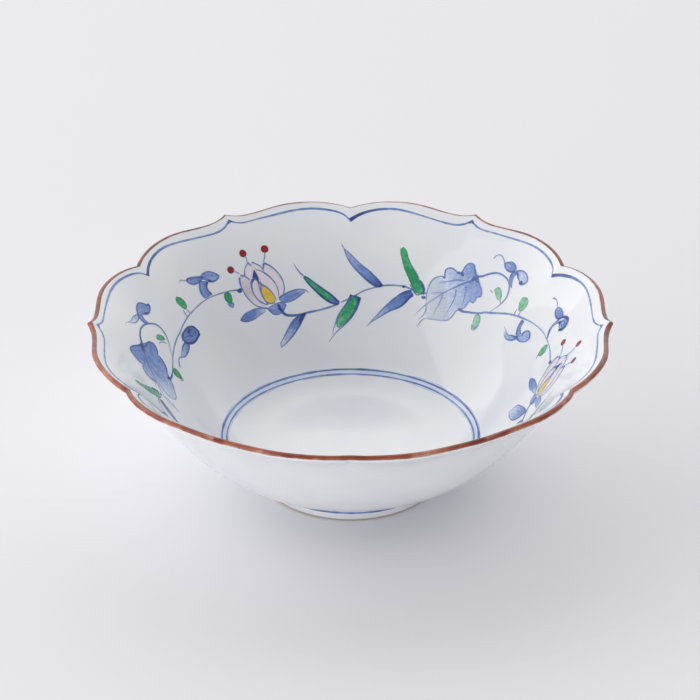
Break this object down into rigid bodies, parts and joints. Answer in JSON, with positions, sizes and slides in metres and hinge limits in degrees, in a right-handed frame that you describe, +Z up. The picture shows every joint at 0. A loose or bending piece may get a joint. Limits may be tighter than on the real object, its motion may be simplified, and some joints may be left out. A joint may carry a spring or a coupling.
{
  "type": "serving bowl",
  "caption": "Footed porcelain serving bowl with a flared, lobed and barbed rim, a hand-painted vine inside and an iron-brown lip.",
  "frame": {"origin": "where the bowl's axis meets the surface that it stands on", "axes": "+Z up along the bowl's axis; +X through one of the rim's six barbs"},
  "size_m": [0.1812, 0.1784, 0.0615],
  "materials": {
    "glazed_porcelain": "clear gloss glaze over fine white porcelain, painted inside in cobalt blue and coloured enamels",
    "iron_brown_glaze": "iron-brown glaze brushed on the lip, glossy",
    "foot_porcelain": "glazed sides, with a smooth unglazed biscuit edge that the bowl stands on"
  },
  "bodies": {
    "root": {"bowl_body": "glazed_porcelain", "rim_band": "iron_brown_glaze", "foot_ring": "foot_porcelain"}
  },
  "joints": []
}
